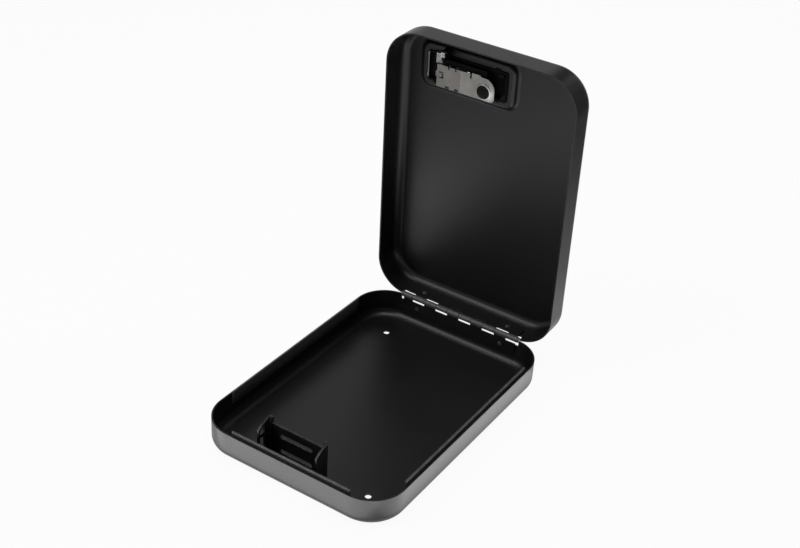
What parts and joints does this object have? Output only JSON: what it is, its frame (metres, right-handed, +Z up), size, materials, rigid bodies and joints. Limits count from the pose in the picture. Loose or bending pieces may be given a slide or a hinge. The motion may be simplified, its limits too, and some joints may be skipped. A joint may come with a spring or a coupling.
{
  "type": "cash box",
  "caption": "Flat rounded steel cash box with a hinged lid at its stop, anti-pry guard strips, a striker bracket and a combination lock with a turning knob.",
  "frame": {"origin": "middle of the tray's plan, on the underside of the tray", "axes": "+X to the right along the hinge, +Y from the tray's front to its hinge, +Z up"},
  "size_m": [0.168, 0.2649, 0.2645],
  "materials": {
    "black_powder_coat": "satin powder coat",
    "nickel_plate": "dull nickel plate",
    "spring_steel": "plain steel",
    "black_plastic": "matte",
    "wheel_plastic": "satin"
  },
  "bodies": {
    "tray": {"tray_shell": "black_powder_coat", "front_guard_strip": "black_powder_coat", "left_guard_strip": "black_powder_coat", "right_guard_strip": "black_powder_coat", "striker_bracket": "black_powder_coat", "tray_hinge_leaf": "black_powder_coat", "tray_hinge_rivets": "black_powder_coat", "hinge_pin": "spring_steel"},
    "lid": {"lid_shell": "black_powder_coat", "lid_hinge_leaf": "black_powder_coat", "lid_hinge_rivets": "black_powder_coat", "lock_housing": "black_plastic", "lock_chassis": "nickel_plate", "knob_collar": "nickel_plate", "detent_spring": "spring_steel", "wheel_axle": "spring_steel"},
    "wheel_1": {"number_wheel_1": "wheel_plastic"},
    "wheel_2": {"number_wheel_2": "wheel_plastic"},
    "wheel_3": {"number_wheel_3": "wheel_plastic"},
    "knob": {"turn_knob": "black_plastic", "knob_crank": "black_plastic"},
    "latch": {"latch_slider": "black_plastic", "latch_nose": "nickel_plate"},
    "setting_slide": {"reset_slide": "nickel_plate"}
  },
  "joints": [
    {"name": "lid_hinge", "type": "hinge", "parent": "tray", "child": "lid", "pos_m": [0, 0.1195, 0.02457], "axis": [1, 0, 0], "range_deg": [0, 88.4]},
    {"name": "wheel_1_turn", "type": "hinge", "parent": "lid", "child": "wheel_1", "pos_m": [-0.0365, 0.13404, 0.22996], "axis": [1, 0, 0], "continuous": true},
    {"name": "wheel_2_turn", "type": "hinge", "parent": "lid", "child": "wheel_2", "pos_m": [-0.03, 0.13404, 0.22996], "axis": [1, 0, 0], "continuous": true},
    {"name": "wheel_3_turn", "type": "hinge", "parent": "lid", "child": "wheel_3", "pos_m": [-0.0235, 0.13404, 0.22996], "axis": [1, 0, 0], "continuous": true},
    {"name": "knob_turn", "type": "hinge", "parent": "lid", "child": "knob", "pos_m": [-0.0027, 0.12933, 0.22682], "axis": [0, 0.9996, 0.0279], "range_deg": [0, 44]},
    {"name": "latch_slide", "type": "slide", "parent": "lid", "child": "latch", "axis": [1, 0, 0], "range_m": [0, 0.0036]},
    {"name": "setting_slide_move", "type": "slide", "parent": "lid", "child": "setting_slide", "axis": [1, 0, 0], "range_m": [0, 0.0013]}
  ],
  "couplings": [
    {"joint": "knob_turn", "follows": "latch_slide", "rad_per_m": 213.54}
  ]
}
